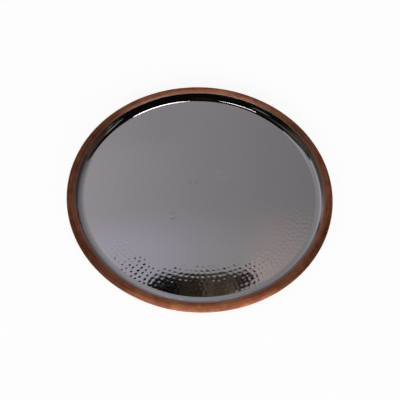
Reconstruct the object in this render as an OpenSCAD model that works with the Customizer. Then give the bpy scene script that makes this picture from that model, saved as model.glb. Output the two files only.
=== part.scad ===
// Round serving tray in two skins: a hammered steel liner lying in a copper
// shell. The copper is rolled inward around a steel wire to make the rim, and
// its lip folds down over the flange of the liner and holds it.
// The origin is the centre of the base, at table height. Z is up.

/* [Tray] */
// Overall diameter across the rim
tray_d = 300; // [200:1:450]
// Width of the wall and rim together, from the flat floor to the outside
band_w = 19; // [17:0.5:30]

/* [Sheet] */
// Thickness of the copper sheet
copper_t = 0.8; // [0.5:0.05:1.2]
// Thickness of the steel sheet
steel_t = 0.8; // [0.5:0.05:1.2]
// Clearance between the two skins where they curve together
fit = 0.02; // [0:0.01:0.1]

/* [Rim] */
// Height of the underside of the rim above the table
rim_lift = 1.2; // [0.5:0.1:4]
// Radius of the outer side of the rolled bead, on its outside face
bead_r = 4.3; // [3.5:0.1:7]
// Radius of the flatter top of the bead, on its outside face
crown_r = 7; // [4.5:0.1:12]
// Angle above level at which the side of the bead eases into its top
ease_a = 75; // [45:1:85]
// Angle at which the lip of the bead ends, inside the tray
lip_a = 136.8; // [120:0.2:150]
// How far the flange of the liner reaches around under the copper, as an angle
tuck_a = 66; // [50:1:89]

/* [Wall] */
// Radius of the curve between the floor and the wall, on the steel face
cove_r = 9.9; // [6:0.1:14]
// Centreline radius of the bend where the shell leaves the cove
step_r = 4; // [2:0.5:8]

/* [Wire] */
// Diameter of the wire inside the rim
wire_d = 6; // [3:0.1:6]
// Gap between the two ends of the wire
wire_gap = 0.5; // [0.2:0.1:3]

/* [Hidden] */
$fn = 360;

copper = [0.62, 0.38, 0.28];
steel = [0.60, 0.60, 0.61];
iron = [0.45, 0.45, 0.46];

tray_r = tray_d / 2;
floor_r = tray_r - band_w;
floor_z = copper_t + steel_t;

// centre of the side of the bead, then of its crown, which meet without a kink
bead_c = [tray_r - bead_r, rim_lift + bead_r];
crown_c = bead_c - (crown_r - bead_r) * [cos(ease_a), sin(ease_a)];

// the cove turns the floor up through this angle, square to the end of the lip
wall_a = lip_a - 90;
cove_c = [floor_r, floor_z + cove_r];

// the shell follows under the cove, then bends back to the level of the rim
sweep_r = cove_r + steel_t + copper_t / 2;
step_a = acos(1 - rim_lift / (sweep_r + step_r));
step_c = [
    floor_r + (sweep_r + step_r) * sin(step_a),
    rim_lift + copper_t / 2 - step_r
];

wire_c = [bead_c[0], rim_lift + copper_t + fit + wire_d / 2 + 0.08];

// points of an arc about c, from angle a0 to a1
function arc(c, r, a0, a1, n = 24) =
    [for (i = [0 : n]) c + r * [cos(a0 + (a1 - a0) * i / n), sin(a0 + (a1 - a0) * i / n)]];

// the two faces of the shell's section, each from the axis outward
function shell_under() = concat(
    [[0, 0]],
    arc(cove_c, sweep_r + copper_t / 2, -90, step_a - 90, 10),
    arc(step_c, step_r - copper_t / 2, 90 + step_a, 90, 8),
    arc(bead_c, bead_r, -90, ease_a, 48),
    arc(crown_c, crown_r, ease_a, lip_a, 24)
);
function shell_inner() = concat(
    [[0, copper_t]],
    arc(cove_c, sweep_r - copper_t / 2, -90, step_a - 90, 10),
    arc(step_c, step_r + copper_t / 2, 90 + step_a, 90, 8),
    arc(bead_c, bead_r - copper_t, -90, ease_a, 48),
    arc(crown_c, crown_r - copper_t, ease_a, lip_a, 24)
);

// the two faces of the liner's section, each from the axis outward
function liner_top() = concat(
    [[0, floor_z]],
    arc(cove_c, cove_r, -90, wall_a - 90, 20),
    arc(crown_c, crown_r - copper_t - fit, lip_a, ease_a, 24),
    arc(bead_c, bead_r - copper_t - fit, ease_a, tuck_a, 4)
);
function liner_under() = concat(
    [[0, copper_t]],
    arc(cove_c, cove_r + steel_t - fit, -90, wall_a - 90, 20),
    arc(crown_c, crown_r - copper_t - fit - steel_t, lip_a, ease_a, 24),
    arc(bead_c, bead_r - copper_t - fit - steel_t, ease_a, tuck_a, 4)
);

function reversed(p) = [for (i = [len(p) - 1 : -1 : 0]) p[i]];

// a skin turned from its two faces
module skin(under, inner) {
    rotate_extrude()
        polygon(concat(under, reversed(inner)));
}

module copper_shell() {
    color(copper)
        skin(shell_under(), shell_inner());
}

module steel_liner() {
    color(steel)
        skin(liner_under(), liner_top());
}

// the wire is bent into a ring and its ends nearly meet at the back
module rim_wire() {
    gap_a = wire_gap / wire_c[0] * 180 / PI;
    color(iron)
        rotate([0, 0, 90 + gap_a / 2])
            rotate_extrude(angle = 360 - gap_a)
                translate(wire_c)
                    circle(d = wire_d, $fn = 48);
}

copper_shell();
steel_liner();
rim_wire();
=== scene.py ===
"""Looks of the round serving tray: hammered steel liner, copper shell with a rolled rim."""

import math

import bpy
import numpy as np
from mathutils import Matrix, Vector

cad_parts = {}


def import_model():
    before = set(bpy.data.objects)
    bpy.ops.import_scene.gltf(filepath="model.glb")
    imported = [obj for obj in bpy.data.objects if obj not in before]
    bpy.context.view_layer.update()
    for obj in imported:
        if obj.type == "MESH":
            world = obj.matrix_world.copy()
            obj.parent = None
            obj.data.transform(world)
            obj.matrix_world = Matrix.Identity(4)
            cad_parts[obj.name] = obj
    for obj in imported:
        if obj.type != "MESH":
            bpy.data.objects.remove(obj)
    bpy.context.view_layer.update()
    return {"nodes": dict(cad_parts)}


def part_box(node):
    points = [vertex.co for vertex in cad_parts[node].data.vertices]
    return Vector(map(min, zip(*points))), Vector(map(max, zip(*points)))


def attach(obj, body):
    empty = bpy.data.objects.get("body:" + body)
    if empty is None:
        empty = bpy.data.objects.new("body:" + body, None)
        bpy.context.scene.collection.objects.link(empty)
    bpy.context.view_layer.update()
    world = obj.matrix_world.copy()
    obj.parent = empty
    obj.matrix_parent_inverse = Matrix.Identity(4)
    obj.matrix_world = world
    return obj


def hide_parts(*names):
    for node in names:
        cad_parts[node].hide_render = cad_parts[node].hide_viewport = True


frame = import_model()
MM = 0.001


def radial(a):
    """The step (outward, up) of length 1 at an angle in degrees above level."""
    return np.array([math.cos(math.radians(a)), math.sin(math.radians(a))])


# ---------------------------------------------------------------- section, in metres
SHELL_LO, SHELL_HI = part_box("copper_shell")
LINER_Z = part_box("steel_liner")[0].z

RIM_R = min(-SHELL_LO.x, SHELL_HI.x, -SHELL_LO.y, SHELL_HI.y)
SHEET = 0.8 * MM
FIT = 0.02 * MM
FLOOR_R = RIM_R - 19 * MM
FLOOR_Z = LINER_Z + SHEET
RIM_LIFT = 1.2 * MM

# angles round the bead: where its side eases into its crown, its lip, and the edge of the flange
EASE, LIP, TUCK = 75.0, 136.8, 66.0
BEAD_R, CROWN_R = 4.3 * MM, 7.0 * MM
BEAD_C = np.array([RIM_R - BEAD_R, RIM_LIFT + BEAD_R])
CROWN_C = BEAD_C - (CROWN_R - BEAD_R) * radial(EASE)
LIP_R = (CROWN_C + CROWN_R * radial(LIP))[0]

# the cove of the liner, and the shell's sweep below it with its bend back to level
COVE_R, STEP_R = 9.9 * MM, 4.0 * MM
COVE_C = np.array([FLOOR_R, FLOOR_Z + COVE_R])
WALL_A = LIP - 90
WALL_R = (COVE_C + COVE_R * radial(WALL_A - 90))[0]
SWEEP_R = COVE_R + SHEET * 1.5
STEP_A = math.degrees(math.acos(1 - RIM_LIFT / (SWEEP_R + STEP_R)))
STEP_C = np.array([
    FLOOR_R + (SWEEP_R + STEP_R) * math.sin(math.radians(STEP_A)),
    RIM_LIFT + SHEET / 2 - STEP_R,
])


def arc(c, r, a0, a1, n):
    """n + 1 points of an arc about c, as (radius, height) rows."""
    a = np.radians(np.linspace(a0, a1, n + 1))
    return np.c_[c[0] + r * np.cos(a), c[1] + r * np.sin(a)]


def smooth(v, lo, hi):
    """0 below lo, 1 above hi, eased between; lo may be the larger one."""
    t = np.clip((v - lo) / (hi - lo), 0, 1)
    return t * t * (3 - 2 * t)


# ---------------------------------------------------------------- hammer marks
rng = np.random.default_rng(41)
MARK_PITCH, RING_STEP = 5.92 * MM, 4.93 * MM
MARK_R = 2.95 * MM
# how rounded the bottom of a mark is: 1 would be pointed, and 2 a bowl
MARK_POWER = 1.35
LIGHT_BLOW, HEAVY_BLOW = 0.019 * MM, 0.020 * MM
# how much shallower the light blows are: near the rim in front, and all over the right and the left
FRONT_FADE, RIGHT_FADE, LEFT_FADE = 0.0065 * MM, 0.006 * MM, 0.014 * MM
# how heavy the heavy blows are: at the left of the front, at the right of it, and behind
HEAVY_LEFT, HEAVY_RIGHT, HEAVY_BEHIND = 2.0, 0.75, 0.15
# radii, going out, over which the half-deep blows reach full depth, the fade in front sets in,
# and the heavy blows set in
HALF_FROM, HALF_TO = 84 * MM, 100 * MM
FADE_FROM, FADE_TO = 97 * MM, 111 * MM
HEAVY_FROM, HEAVY_TO = 98 * MM, 114 * MM
# spreads: round the ring as a part of the pitch, outward, and as parts of a depth, a width and a step
AROUND, OUTWARD = 0.075, 0.25 * MM
DEPTH_SPREAD, WIDTH_SPREAD, STEP_SPREAD = 0.23, 0.05, 0.015


def blow(r, t):
    """How deep the marks at radius r and angle t go: heaviest near the rim at the left of the front."""
    # degrees round from the front of the tray, positive to the right
    front = np.degrees(np.angle(np.exp(1j * (t + math.pi / 2))))
    left = smooth(front, -22, -30) * smooth(front, -58, -44)
    right = smooth(front, 32, 46) * smooth(front, 115, 80)
    behind = smooth(np.abs(front), 60, 110)
    heavy = np.maximum(np.maximum(HEAVY_LEFT * left, HEAVY_RIGHT * right), HEAVY_BEHIND * behind)
    # the light blows are shallower near the rim straight in front, and all over both sides
    in_front = smooth(np.abs(front), 36, 24) * smooth(r, FADE_FROM, FADE_TO)
    light = LIGHT_BLOW - FRONT_FADE * in_front
    light = light - RIGHT_FADE * smooth(front, 44, 62) - LEFT_FADE * smooth(front, -42, -56)
    # further in they are half as deep, except over most of the right-hand half
    light = light * (1 - 0.5 * smooth(r, HALF_TO, HALF_FROM) * smooth(front, 46, 32))
    return light + HEAVY_BLOW * heavy * smooth(r, HEAVY_FROM, HEAVY_TO)


def hammer_rings():
    """Marks struck in rings as the tray is turned under the hammer. One dict per ring."""
    rings = []
    r = FLOOR_R
    while r > 2 * MM:
        n = max(1, int(round(2 * math.pi * r / MARK_PITCH)))
        t = (np.arange(n) + rng.random() + rng.normal(0, AROUND, n)) * 2 * math.pi / n
        rad = r + rng.normal(0, OUTWARD, n)
        rings.append({
            "n": n, "x": rad * np.cos(t), "y": rad * np.sin(t), "t0": t[0],
            "deep": blow(rad, t) * np.clip(rng.normal(1.0, DEPTH_SPREAD, n), 0.4, 1.6),
            "wide": MARK_R * np.clip(rng.normal(1.0, WIDTH_SPREAD, n), 0.85, 1.15),
        })
        r -= RING_STEP * (1 + rng.normal(0, STEP_SPREAD))
    return rings


RINGS = hammer_rings()
RING_R = np.array([np.hypot(k["x"], k["y"]).mean() for k in RINGS])


def mark_depth(x, y):
    """How far the hammered surface lies below the plain one at each point."""
    r, t = np.hypot(x, y), np.arctan2(y, x)
    depth = np.zeros_like(r)
    # how far from the mean radius of its ring a mark is taken to reach
    reach = MARK_R * 1.4
    for k, ring in zip(RING_R, RINGS):
        near = np.nonzero(np.abs(r - k) < reach)[0]
        if not len(near):
            continue
        first = np.round((t[near] - ring["t0"]) / (2 * math.pi) * ring["n"]).astype(int)
        for step in (-1, 0, 1) if ring["n"] > 2 else range(ring["n"]):
            j = (first + step) % ring["n"]
            q = np.clip(np.hypot(x[near] - ring["x"][j], y[near] - ring["y"][j]) / ring["wide"][j], 0, 1)
            # a rounded cone: deepest in the middle, level with the sheet at its edge
            depth[near] += ring["deep"][j] * (1 - q ** MARK_POWER) ** 2
    return depth


# ---------------------------------------------------------------- mesh building
# points round a ring: the liner's wall, the copper that shows, the hidden faces, and their middle
WALL_POINTS, RIM_POINTS, HIDDEN_POINTS, MIDDLE_POINTS = 720, 600, 240, 48


class Turned:
    """A closed mesh made of rings about the axis. Each ring has its own number of points."""

    def __init__(self):
        self.co, self.faces, self.rings = [], [], []
        self.count = 0

    def ring(self, r, z, n, marked=0.0):
        """A ring of n points, or one point on the axis. marked is how far each hammer mark is let in."""
        t = np.arange(n) * 2 * math.pi / n
        x, y = r * np.cos(t), r * np.sin(t)
        depth = mark_depth(x, y) * marked if marked else np.zeros(n)
        self.co.append(np.c_[x, y, z - depth])
        self.rings.append((self.count, n))
        self.count += n

    def section(self, points, n):
        """A ring of n points through each (radius, height) row."""
        for r, z in points:
            self.ring(r, z, n)

    def stitch(self, a, b):
        """Faces between rings a and b. Their front is where a lies inside b and they run anticlockwise."""
        (ia, na), (ib, nb) = a, b
        if na == nb:
            for i in range(na):
                j = (i + 1) % na
                self.faces.append((ia + i, ib + i, ib + j, ia + j))
            return
        if na == 1:
            for i in range(nb):
                self.faces.append((ia, ib + i, ib + (i + 1) % nb))
            return
        if nb == 1:
            for i in range(na):
                self.faces.append((ib, ia + (i + 1) % na, ia + i))
            return
        i = j = 0
        while i < na or j < nb:
            if j >= nb or (i < na and (i + 1) * nb <= (j + 1) * na):
                self.faces.append((ia + i % na, ib + j % nb, ia + (i + 1) % na))
                i += 1
            else:
                self.faces.append((ia + i % na, ib + j % nb, ib + (j + 1) % nb))
                j += 1

    def build(self, name):
        for a, b in zip(self.rings, self.rings[1:]):
            self.stitch(a, b)
        mesh = bpy.data.meshes.new(name)
        mesh.from_pydata(np.vstack(self.co).tolist(), [], self.faces)
        mesh.validate()
        mesh.polygons.foreach_set("use_smooth", [True] * len(mesh.polygons))
        obj = bpy.data.objects.new(name, mesh)
        bpy.context.scene.collection.objects.link(obj)
        return obj


def disc_rings(inner, outer, spacing, pitch):
    """(radius, count) of even rings from inner out to outer, both left out."""
    n = int(round((outer - inner) / spacing))
    radii = [inner + (outer - inner) * i / n for i in range(1, n)]
    return [(r, max(6, int(round(2 * math.pi * r / pitch)))) for r in radii]


def make_liner():
    """The steel liner: hammered floor, cove, wall and tucked flange, then its hidden underside."""
    m = Turned()
    m.ring(0, FLOOR_Z, 1, marked=1)
    # the mesh is finer where the marks are deepest
    fine_from = FLOOR_R - 31 * MM
    coarse = disc_rings(0, fine_from, spacing=1.3 * MM, pitch=1.4 * MM)
    fine = disc_rings(fine_from, FLOOR_R, spacing=0.66 * MM, pitch=0.68 * MM)
    for r, n in coarse + fine:
        m.ring(r, FLOOR_Z, n, marked=1)
    top = np.vstack([
        arc(COVE_C, COVE_R, -90, WALL_A - 90, 16),
        arc(CROWN_C, CROWN_R - SHEET - FIT, LIP, EASE, 6),
        arc(BEAD_C, BEAD_R - SHEET - FIT, EASE, TUCK, 1)[1:],
    ])
    for r, z in top:
        m.ring(r, z, WALL_POINTS, marked=1 if r < FLOOR_R + MARK_R else 0)
    m.section(np.vstack([
        arc(BEAD_C, BEAD_R - 2 * SHEET - FIT, TUCK, EASE, 1)[:-1],
        arc(CROWN_C, CROWN_R - 2 * SHEET - FIT, EASE, LIP, 6),
        arc(COVE_C, COVE_R + SHEET - FIT, WALL_A - 90, -90, 10),
    ]), HIDDEN_POINTS)
    m.ring(FLOOR_R / 2, LINER_Z, MIDDLE_POINTS)
    m.ring(0, LINER_Z, 1)
    return m.build("steel_liner_hammered")


def make_shell():
    """The copper shell: hidden upper face, lip with its cut edge, bead, and hammered underside."""
    m = Turned()
    m.ring(0, SHEET, 1)
    m.ring(FLOOR_R / 2, SHEET, MIDDLE_POINTS)
    # the rings are closer together over the last few degrees before the lip
    coarse_end, fine_start = LIP - 8, LIP - 6
    m.section(np.vstack([
        arc(COVE_C, SWEEP_R - SHEET / 2, -90, STEP_A - 90, 5),
        arc(STEP_C, STEP_R + SHEET / 2, 90 + STEP_A, 90, 3)[1:],
        arc(BEAD_C, BEAD_R - SHEET, -90, EASE, 14),
        arc(CROWN_C, CROWN_R - SHEET, EASE, coarse_end, 5)[1:],
    ]), HIDDEN_POINTS)
    # the lip's cut edge, with its two corners broken
    edge = 0.16 * MM
    turn = math.degrees(edge / CROWN_R)
    inset, setback = edge * 0.35, turn * 0.3
    cut = [
        CROWN_C + (CROWN_R - SHEET + inset) * radial(LIP - setback),
        CROWN_C + (CROWN_R - SHEET + edge) * radial(LIP),
        CROWN_C + (CROWN_R - edge) * radial(LIP),
        CROWN_C + (CROWN_R - inset) * radial(LIP - setback),
    ]
    m.section(np.vstack([
        arc(CROWN_C, CROWN_R - SHEET, fine_start, LIP - turn, 2),
        cut,
        arc(CROWN_C, CROWN_R, LIP - turn, EASE, 14),
        arc(BEAD_C, BEAD_R, EASE, -90, 34)[1:],
        arc(STEP_C, STEP_R - SHEET / 2, 90, 90 + STEP_A, 5),
        arc(COVE_C, SWEEP_R + SHEET / 2, STEP_A - 90, -90, 7)[1:],
    ]), RIM_POINTS)
    # the marks struck inside show through underneath at half their depth, and stay above the table
    plain, share = 0.05 * MM, 0.5
    for r, n in reversed(disc_rings(0, FLOOR_R, spacing=1.15 * MM, pitch=1.25 * MM)):
        m.ring(r, plain, n, marked=share)
    m.ring(0, 0.0, 1)
    return m.build("copper_shell_rolled")


# ---------------------------------------------------------------- node helpers
class Nodes:
    """Short calls for building a node tree."""

    def __init__(self, tree):
        self.t = tree
        tree.nodes.clear()

    def add(self, kind, **props):
        n = self.t.nodes.new(kind)
        for k, v in props.items():
            setattr(n, k, v)
        return n

    def link(self, a, b):
        self.t.links.new(a, b)

    def put(self, socket, v):
        """Links v to the socket if it is one, or else sets it as the value."""
        if isinstance(v, bpy.types.NodeSocket):
            self.link(v, socket)
        else:
            socket.default_value = v

    def math(self, op, a, b=None, clamp=False):
        n = self.add("ShaderNodeMath", operation=op, use_clamp=clamp)
        self.put(n.inputs[0], a)
        if b is not None:
            self.put(n.inputs[1], b)
        return n.outputs[0]

    def times(self, *factors):
        """The product of two or more values."""
        out = factors[0]
        for f in factors[1:]:
            out = self.math("MULTIPLY", out, f)
        return out

    def vmath(self, op, a, b=None):
        n = self.add("ShaderNodeVectorMath", operation=op)
        self.put(n.inputs[0], a)
        if b is not None:
            self.put(n.inputs[1], b)
        return n.outputs["Value"] if op in ("DOT_PRODUCT", "LENGTH") else n.outputs[0]

    def ramp(self, v, lo, hi, a=0.0, b=1.0, smooth=True):
        """Maps v from lo..hi to a..b, clamped; lo may be the larger one."""
        kind = "SMOOTHSTEP" if smooth else "LINEAR"
        n = self.add("ShaderNodeMapRange", interpolation_type=kind, clamp=True)
        self.put(n.inputs["Value"], v)
        for k, x in (("From Min", lo), ("From Max", hi), ("To Min", a), ("To Max", b)):
            self.put(n.inputs[k], x)
        return n.outputs["Result"]

    def stops(self, v, stops):
        """A grey ramp through (position, value) stops; the positions may be any increasing numbers."""
        lo, hi = stops[0][0], stops[-1][0]
        n = self.add("ShaderNodeValToRGB")
        self.link(self.ramp(v, lo, hi, smooth=False), n.inputs[0])
        e = n.color_ramp.elements
        while len(e) < len(stops):
            e.new(0.5)
        for k, (at, grey) in zip(e, stops):
            k.position = (at - lo) / (hi - lo)
            k.color = (grey, grey, grey, 1)
        return n.outputs[0]

    def mix(self, f, a, b, blend="MIX"):
        n = self.add("ShaderNodeMix", data_type="RGBA", blend_type=blend)
        self.put(n.inputs[0], f)
        self.put(n.inputs[6], a)
        self.put(n.inputs[7], b)
        return n.outputs[2]

    def tint(self, f, a, b):
        """a where f is 0, and a times b where f is 1."""
        return self.mix(f, a, b, "MULTIPLY")

    def noise(self, vec, scale, detail=3.0, rough=0.55):
        n = self.add("ShaderNodeTexNoise")
        self.put(n.inputs["Vector"], vec)
        n.inputs["Scale"].default_value = scale
        n.inputs["Detail"].default_value = detail
        n.inputs["Roughness"].default_value = rough
        return n.outputs["Fac"]

    def stretch(self, vec, scale, rot=(0, 0, 0)):
        n = self.add("ShaderNodeMapping")
        self.put(n.inputs["Vector"], vec)
        n.inputs["Scale"].default_value = scale
        n.inputs["Rotation"].default_value = rot
        return n.outputs[0]

    def combine(self, x, y, z):
        n = self.add("ShaderNodeCombineXYZ")
        for socket, v in zip(n.inputs, (x, y, z)):
            self.put(socket, v)
        return n.outputs[0]

    def split(self, vec):
        n = self.add("ShaderNodeSeparateXYZ")
        self.link(vec, n.inputs[0])
        return n.outputs[0], n.outputs[1], n.outputs[2]

    def radius(self, vec):
        """Distance of a point from the tray's axis."""
        return self.vmath("LENGTH", self.vmath("MULTIPLY", vec, (1, 1, 0)))

    def blot(self, vec, x, y, size):
        """1 at a place on the floor, falling to 0 at size metres from it."""
        return self.ramp(self.radius(self.vmath("SUBTRACT", vec, (x, y, 0))), size, size * 0.4)


def new_material(name):
    mat = bpy.data.materials.new(name)
    mat.use_nodes = True
    n = Nodes(mat.node_tree)
    out = n.add("ShaderNodeOutputMaterial")
    bsdf = n.add("ShaderNodeBsdfPrincipled")
    n.link(bsdf.outputs[0], out.inputs[0])
    coord = n.add("ShaderNodeTexCoord").outputs["Object"]
    return mat, n, bsdf, coord


def rgb(r, g, b):
    return (r, g, b, 1.0)


# ---------------------------------------------------------------- materials
def steel_material():
    """Polished steel: nearly a mirror, with faint wipe marks, specks and dust, painted light to the left, a
    painted highlight line round the wall, and painted shade with a painted reflection of the copper along
    its lip.
    """
    mat, n, bsdf, co = new_material("polished_steel_hammered")
    bsdf.inputs["Metallic"].default_value = 1.0
    x, _, _ = n.split(co)
    rad = n.radius(co)
    # the band along the lip: painted shade and a painted reflection of the copper lip in its colour, and a
    # duller polish
    shaded_lip_band = n.ramp(rad, WALL_R - 0.7 * MM, WALL_R + 0.3 * MM)

    haze = n.noise(n.stretch(co, (9, 5, 5), (0, 0, 0.6)), 3.0, 4.0)
    wipes = n.noise(n.stretch(co, (14, 160, 20), (0, 0, 0.35)), 1.6, 3.0, 0.7)
    fog = n.times(n.ramp(haze, 0.45, 0.75), n.ramp(wipes, 0.52, 0.72))
    worn = n.math("ADD", n.times(fog, 0.07), n.times(shaded_lip_band, 0.06))
    n.link(n.math("ADD", 0.035, worn), bsdf.inputs["Roughness"])

    # painted light: the steel is a little lighter on the left
    painted_light_to_left = n.ramp(x, RIM_R, -RIM_R, smooth=False)
    col = n.mix(painted_light_to_left, rgb(0.52, 0.512, 0.531), rgb(0.67, 0.66, 0.684))
    # sparse dark specks, in patches
    patches = n.ramp(n.noise(co, 45.0, 2.0), 0.58, 0.66)
    specks = n.times(n.ramp(n.noise(co, 900.0, 1.0), 0.74, 0.80), patches)
    col = n.mix(specks, col, rgb(0.36, 0.34, 0.33))
    # a sprinkle of pale dust right of the middle, and two faint dark smears left of it
    dust = n.times(n.ramp(n.noise(co, 620.0, 0.0), 0.70, 0.78), n.blot(co, 0.025, 0.026, 0.013))
    col = n.mix(dust, col, rgb(0.95, 0.93, 0.90))
    wave = n.noise(n.stretch(co, (70, 190, 70), (0, 0, 0.5)), 1.0, 2.0)
    streak = n.times(n.ramp(wave, 0.50, 0.56), n.ramp(wave, 0.66, 0.60))
    places = n.math("ADD", n.blot(co, -0.026, -0.034, 0.009), n.blot(co, -0.008, 0.014, 0.007), clamp=True)
    col = n.mix(n.times(streak, places, 0.5), col, rgb(0.36, 0.35, 0.36))
    # a painted highlight line round the wall, and above it a brown band of painted shade and painted
    # reflection of the copper lip
    rise = n.ramp(rad, WALL_R - 2.2 * MM, WALL_R - 1.4 * MM)
    fall = n.ramp(rad, WALL_R - 0.7 * MM, WALL_R - 1.2 * MM)
    col = n.mix(n.times(rise, fall, 0.6), col, rgb(0.80, 0.77, 0.77))
    col = n.mix(shaded_lip_band, col, rgb(0.40, 0.30, 0.275))
    n.link(col, bsdf.inputs["Base Color"])
    return mat


def copper_material():
    """Spun copper: satin, brushed along its rings, under a light brown patina, with painted shade at the
    sides and painted highlights on the top of the rim, in front and along the lip.
    """
    mat, n, bsdf, co = new_material("copper_satin_patina")
    bsdf.inputs["Metallic"].default_value = 1.0
    bsdf.inputs["Anisotropic"].default_value = 1.0
    bsdf.inputs["Anisotropic Rotation"].default_value = 0.25
    tangent = n.add("ShaderNodeTangent", direction_type="RADIAL", axis="Z")
    n.link(tangent.outputs[0], bsdf.inputs["Tangent"])
    x, y, z = n.split(co)
    rad = n.radius(co)
    angle = n.math("ARCTAN2", y, x)

    def turned(across, along):
        """Noise drawn out along the rim: cycles per metre across it, and per radian along it."""
        return n.noise(n.combine(n.times(rad, across), n.times(z, across), n.times(angle, along)), 1.0, 2.0)

    blotch = n.noise(co, 60.0, 5.0, 0.6)
    dents = n.noise(co, 480.0, 3.0, 0.6)
    coarse_rings = turned(900, 3)
    fine_rings = turned(2200, 4)
    col = n.mix(n.ramp(blotch, 0.35, 0.65), rgb(0.47, 0.150, 0.084), rgb(0.70, 0.280, 0.150))
    col = n.mix(n.times(n.ramp(dents, 0.45, 0.75), 0.35), col, rgb(0.42, 0.155, 0.085))
    coarse_part, fine_part = 0.65, 0.35
    coarse = n.ramp(coarse_rings, 0.36, 0.64, 0.0, coarse_part)
    ringed = n.math("ADD", coarse, n.ramp(fine_rings, 0.34, 0.66, 0.0, fine_part))
    col = n.tint(1.0, col, n.mix(ringed, rgb(0.66, 0.62, 0.62), rgb(1.26, 1.30, 1.28)))

    # painted highlight: the top of the rim is lighter
    inner = n.ramp(rad, BEAD_C[0] + 2 * MM, BEAD_C[0] - MM)
    crown = n.times(inner, n.ramp(z, BEAD_C[1] + 2.5 * MM, BEAD_C[1] + 4 * MM))
    col = n.tint(crown, col, rgb(1.14, 1.19, 1.16))
    # painted shade: the copper is darkest on the left and darker on the right; painted highlight: it is
    # lighter in front
    col = n.tint(n.ramp(x, -RIM_R * 0.6, -RIM_R * 0.95), col, rgb(0.70, 0.66, 0.64))
    col = n.tint(n.ramp(x, RIM_R * 0.82, RIM_R * 0.97), col, rgb(0.84, 0.79, 0.76))
    # how far out a point is, towards a little right of the middle of the front
    front = n.vmath("DOT_PRODUCT", co, (0.17, -0.985, 0))
    col = n.tint(n.ramp(front, RIM_R * 0.90, RIM_R * 0.97), col, rgb(1.34, 1.39, 1.33))
    # painted highlight: the copper is paler and greyer along the lip
    near_lip = n.ramp(rad, LIP_R + 2.8 * MM, LIP_R + 0.3 * MM)
    above_bead = n.ramp(z, BEAD_C[1], BEAD_C[1] + MM)
    col = n.mix(n.times(near_lip, above_bead, 0.75), col, rgb(0.56, 0.375, 0.32))
    n.link(col, bsdf.inputs["Base Color"])

    mottle = n.math("ADD", n.times(blotch, 0.5), n.times(fine_rings, 0.5))
    n.link(n.ramp(mottle, 0.3, 0.7, 0.46, 0.58, False), bsdf.inputs["Roughness"])
    # fine turning lines and small dents
    bump = n.add("ShaderNodeBump")
    bump.inputs["Strength"].default_value = 0.6
    bump.inputs["Distance"].default_value = 0.04 * MM
    lines = n.math("ADD", coarse_rings, n.times(fine_rings, 0.5))
    n.link(n.math("ADD", dents, lines), bump.inputs["Height"])
    n.link(bump.outputs[0], bsdf.inputs["Normal"])
    return mat


def wire_material():
    """Drawn steel wire, which only shows if the rim is opened."""
    mat, n, bsdf, co = new_material("drawn_steel_wire")
    bsdf.inputs["Metallic"].default_value = 1.0
    drawn = n.noise(n.stretch(co, (200, 200, 2600)), 1.0, 3.0)
    n.link(n.mix(drawn, rgb(0.36, 0.35, 0.34), rgb(0.52, 0.51, 0.50)), bsdf.inputs["Base Color"])
    n.link(n.ramp(drawn, 0.3, 0.7, 0.28, 0.5), bsdf.inputs["Roughness"])
    return mat


# ---------------------------------------------------------------- the object
liner = make_liner()
liner.data.materials.append(steel_material())
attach(liner, "root")
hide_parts("steel_liner")

shell = make_shell()
shell.data.materials.append(copper_material())
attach(shell, "root")
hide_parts("copper_shell")

wire = frame["nodes"]["rim_wire"]
wire.data.materials.clear()
wire.data.materials.append(wire_material())


# ---------------------------------------------------------------- studio
def stage_piece(name, verts, faces, grey, glow):
    """A surface that the camera sees, in a grey and with a glow, and that the metal doesn't mirror."""
    mesh = bpy.data.meshes.new(name)
    mesh.from_pydata(verts, [], faces)
    obj = bpy.data.objects.new(name, mesh)
    bpy.context.scene.collection.objects.link(obj)
    mat, _, bsdf, _ = new_material(name)
    bsdf.inputs["Roughness"].default_value = 0.9
    bsdf.inputs["Specular IOR Level"].default_value = 0.0
    bsdf.inputs["Base Color"].default_value = rgb(grey, grey, grey)
    bsdf.inputs["Emission Color"].default_value = rgb(1, 1, 1)
    bsdf.inputs["Emission Strength"].default_value = glow
    mesh.materials.append(mat)
    obj.visible_glossy = False
    return obj


def stage():
    """The floor just under the tray, and a far, plain backdrop all round it for the low views."""
    half, below = 24.0, -0.2 * MM
    corners = [(-half, -half, below), (half, -half, below), (half, half, below), (-half, half, below)]
    stage_piece("floor", corners, [(0, 1, 2, 3)], grey=0.3, glow=0.9)
    n, far, low, high = 48, 20.0, -0.5, 12.0
    ring = [(far * math.cos(t), far * math.sin(t)) for t in np.arange(n) * 2 * math.pi / n]
    verts = [(x, y, low) for x, y in ring] + [(x, y, high) for x, y in ring]
    faces = [((i + 1) % n, i, n + i, n + (i + 1) % n) for i in range(n)]
    wall = stage_piece("backdrop", verts, faces, grey=0.0, glow=0.985)
    wall.visible_diffuse = False
    wall.visible_shadow = False


stage()


# Light comes from the world by direction: dx is to the right, dy to the back and dz up.
def lobe(n, d, at, size):
    """1 within a few degrees of the direction at, falling to 0 at size degrees from it."""
    c, near = Vector(at).normalized(), math.radians(size)
    return n.ramp(n.vmath("DOT_PRODUCT", d, tuple(c)), math.cos(near), math.cos(near * 0.3))


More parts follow.
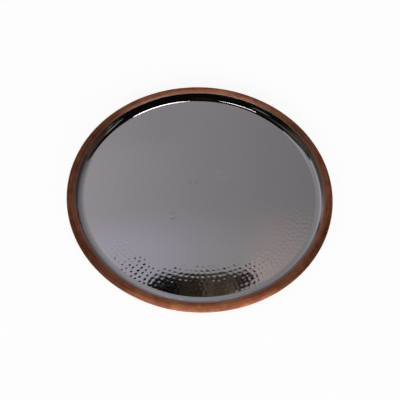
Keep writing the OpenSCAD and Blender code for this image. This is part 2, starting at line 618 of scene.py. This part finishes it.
def backdrop_light(n, d):
    """A grey backdrop behind the tray: brighter to the left, and fading towards the horizon."""
    dx, _, dz = n.split(d)
    high = n.stops(dx, [
        (-1, 0.10), (-0.8, 0.20), (-0.6, 0.36), (-0.4, 0.38), (-0.25, 0.35), (-0.14, 0.402), (-0.07, 0.36),
        (0, 0.325), (0.07, 0.305), (0.13, 0.288), (0.3, 0.24), (0.5, 0.135), (1, 0.06),
    ])
    low = n.stops(dx, [
        (-1, 0.06), (-0.86, 0.18), (-0.76, 0.50), (-0.6, 0.42), (-0.4, 0.36), (-0.2, 0.31), (-0.08, 0.36),
        (0, 0.36), (0.1, 0.40), (0.2, 0.33), (0.3, 0.27), (0.4, 0.22), (0.6, 0.18), (0.77, 0.09), (1, 0.05),
    ])
    low = n.tint(1.0, low, n.stops(dz, [(0, 0.90), (0.3, 0.97), (0.5, 1.0), (1, 1.0)]))
    grey = n.mix(n.ramp(dz, 0.70, 0.79), low, high)
    # its top edge is lavender on the left and brighter all along
    cool = n.times(n.ramp(dx, 0.03, -0.08), n.ramp(dz, 0.85, 0.878))
    grey = n.tint(1.0, grey, n.mix(cool, rgb(1.0, 0.975, 0.985), rgb(1.04, 1.01, 1.135)))
    grey = n.tint(n.ramp(dz, 0.845, 0.882), grey, rgb(1.21, 1.21, 1.21))
    # low down it is a little bluer, and it has one slightly dim patch left of the middle
    grey = n.tint(n.ramp(dz, 0.62, 0.45), grey, rgb(0.985, 1.0, 1.06))
    dim = n.times(n.ramp(dx, 0.0, -0.06), n.ramp(dx, -0.22, -0.16), n.ramp(dz, 0.818, 0.794))
    grey = n.tint(dim, grey, rgb(0.92, 0.92, 0.92))
    # the top right corner is tan
    warm = n.times(n.ramp(dx, 0.04, 0.11), n.ramp(dz, 0.835, 0.885))
    back = n.mix(warm, grey, rgb(0.45, 0.385, 0.36))
    return n.mix(lobe(n, d, (0.079, 0.458, 0.885), 1.2), back, rgb(0.52, 0.455, 0.41))


def overhead_light(n, d):
    """The dark overhead: black in the middle, dim brown and grey to both sides, with a few small glows."""
    dx, dy, dz = n.split(d)
    left = n.times(n.ramp(dx, -0.3, -0.6), n.ramp(dy, -0.26, -0.10), n.ramp(dy, 0.26, 0.1))
    right = n.times(n.ramp(dx, 0.5, 0.72), n.ramp(dy, -0.16, 0.02))
    dark = n.mix(left, rgb(0.004, 0.003, 0.003), rgb(0.080, 0.064, 0.050))
    dark = n.mix(right, dark, rgb(0.050, 0.031, 0.024))
    low_down = n.ramp(dz, 0.44, 0.30)
    dark = n.mix(n.times(low_down, n.ramp(dx, -0.4, -0.6)), dark, rgb(0.21, 0.20, 0.19))
    dark = n.mix(n.times(low_down, n.ramp(dx, 0.4, 0.6)), dark, rgb(0.12, 0.10, 0.09))
    glows = [
        ((-0.56, -0.46, 0.69), 8, (0.17, 0.17, 0.16)),
        ((-0.86, 0.2, 0.45), 12, (0.015, 0.012, 0.01)),
        ((0.69, -0.01, 0.72), 6, (0.36, 0.34, 0.34)),
        ((0, -0.22, 0.97), 7, (0.032, 0.019, 0.017)),
        ((0.745, -0.18, 0.65), 3.6, (0.34, 0.335, 0.35)),
        ((0.893, -0.16, 0.42), 3.6, (0.16, 0.15, 0.11)),
    ]
    for at, size, colour in glows:
        dark = n.mix(lobe(n, d, at, size), dark, rgb(*colour))
    # something brown and streaked hanging just above the backdrop's edge
    streaks = n.noise(n.stretch(d, (110, 5, 5)), 1.0, 2.0)
    brown = n.mix(n.ramp(streaks, 0.4, 0.62), rgb(0.028, 0.020, 0.012), rgb(0.108, 0.085, 0.054))
    brown = n.mix(n.ramp(dz, 0.8965, 0.8925, 0.0, 0.55), brown, rgb(0.012, 0.008, 0.005))
    across = n.times(n.ramp(dx, -0.04, 0.035), n.ramp(dx, 0.061, 0.050))
    upward = n.times(n.ramp(dz, 0.925, 0.912), n.ramp(dy, 0.1, 0.3))
    return n.mix(n.times(across, upward), dark, brown)


def below_the_edge(n, d):
    """1 below the backdrop's edge and 0 above it. The edge is straight but for a step and four dips."""
    dx, dy, _ = n.split(d)
    height = n.vmath("DOT_PRODUCT", d, (-0.094, 1.0, -0.496))
    edge = n.times(n.ramp(dx, -0.069, -0.044), 0.0118)
    slant = n.math("SUBTRACT", dx, n.times(dy, 1.2))
    dips = [
        (n.times(n.ramp(dx, -0.060, -0.070), n.ramp(dx, -0.20, -0.10)), 0.012),
        (n.times(n.ramp(dx, -0.075, -0.23), n.ramp(dx, -0.8, -0.5)), 0.14),
        (n.ramp(dx, 0.064, 0.084), 0.0085),
        (n.times(n.ramp(slant, -0.466, -0.460), n.ramp(dx, 0.9, 0.5)), 0.066),
    ]
    for where, depth in dips:
        edge = n.math("SUBTRACT", edge, n.times(where, depth))
    blur = 0.003
    return n.ramp(n.math("SUBTRACT", height, edge), -blur, blur)


def front_light(n, d, sky):
    """Adds what is in front of the tray: a grey wall low down, a tall window and a low one to its right."""
    dx, dy, dz = n.split(d)
    wall = n.times(n.ramp(dy, 0.0, -0.4), n.ramp(dz, 0.5, 0.3))
    tall = n.times(n.ramp(dx, 0.55, 0.24), n.ramp(dz, 0.52, 0.34), n.ramp(dy, -0.50, -0.86))
    short = n.times(n.ramp(dx, 0.38, 0.5), n.ramp(dz, 0.21, 0.15), n.ramp(dy, -0.40, -0.65))
    sky = n.mix(wall, sky, rgb(0.62, 0.61, 0.60))
    sky = n.mix(tall, sky, rgb(3.0, 2.93, 2.88))
    return n.mix(short, sky, rgb(8.0, 7.85, 7.7))


def world():
    """A dim room round the tray, with a backdrop behind, dark overhead, and windows in front."""
    w = bpy.data.worlds.new("studio")
    bpy.context.scene.world = w
    w.use_nodes = True
    n = Nodes(w.node_tree)
    out = n.add("ShaderNodeOutputWorld")
    bg = n.add("ShaderNodeBackground")
    n.link(bg.outputs[0], out.inputs[0])
    d = n.vmath("NORMALIZE", n.add("ShaderNodeTexCoord").outputs["Generated"])
    _, dy, dz = n.split(d)
    sky = n.mix(below_the_edge(n, d), overhead_light(n, d), backdrop_light(n, d))
    sky = front_light(n, d, sky)
    below = n.mix(n.ramp(dy, 0.3, -0.7), rgb(0.3, 0.295, 0.29), rgb(0.45, 0.44, 0.43))
    n.link(n.mix(n.ramp(dz, 0.03, -0.1), sky, below), bg.inputs["Color"])
    bg.inputs["Strength"].default_value = 1.0


world()


def softbox(name, at, size, power, colour=(1, 1, 1)):
    """An oval softbox aimed at the tray."""
    data = bpy.data.lights.new(name, "AREA")
    data.shape = "ELLIPSE"
    data.size, data.size_y = size
    data.energy = power
    data.color = colour
    obj = bpy.data.objects.new(name, data)
    bpy.context.scene.collection.objects.link(obj)
    obj.location = at
    obj.rotation_mode = "QUATERNION"
    obj.rotation_quaternion = Vector(at).to_track_quat("Z", "Y")


softbox("softbox_back", at=(0.81, 3.76, 10.0), size=(1.25, 0.6), power=20)
softbox("softbox_side", at=(-1.63, 0.20, 10.0), size=(0.50, 2.0), power=15, colour=(1.0, 0.975, 0.97))


# ---------------------------------------------------------------- camera
def camera():
    """The photograph's viewing angle: 57 degrees above the tray, a little rolled."""
    cam = bpy.data.cameras.new("camera")
    obj = bpy.data.objects.new("camera", cam)
    bpy.context.scene.collection.objects.link(obj)
    bpy.context.scene.camera = obj
    cam.sensor_width = 36
    cam.lens = 71.6
    cam.clip_start, cam.clip_end = 0.01, 100
    elevation, distance, roll = math.radians(57.02), 0.9, math.radians(2.82)
    mid = BEAD_C[1]
    # it looks at a point just in front of the tray's middle, at the height of the bead
    target = Vector((0.0004, -0.0131, mid))
    pos = Vector((0, -distance * math.cos(elevation), distance * math.sin(elevation) + mid))
    forward = (target - pos).normalized()
    level = forward.cross(Vector((0, 0, 1))).normalized()
    upright = level.cross(forward)
    right = math.cos(roll) * level + math.sin(roll) * upright
    up = -math.sin(roll) * level + math.cos(roll) * upright
    m = Matrix((right, up, -forward)).transposed().to_4x4()
    m.translation = pos
    obj.matrix_world = m


camera()
bpy.context.scene.view_settings.view_transform = "Standard"
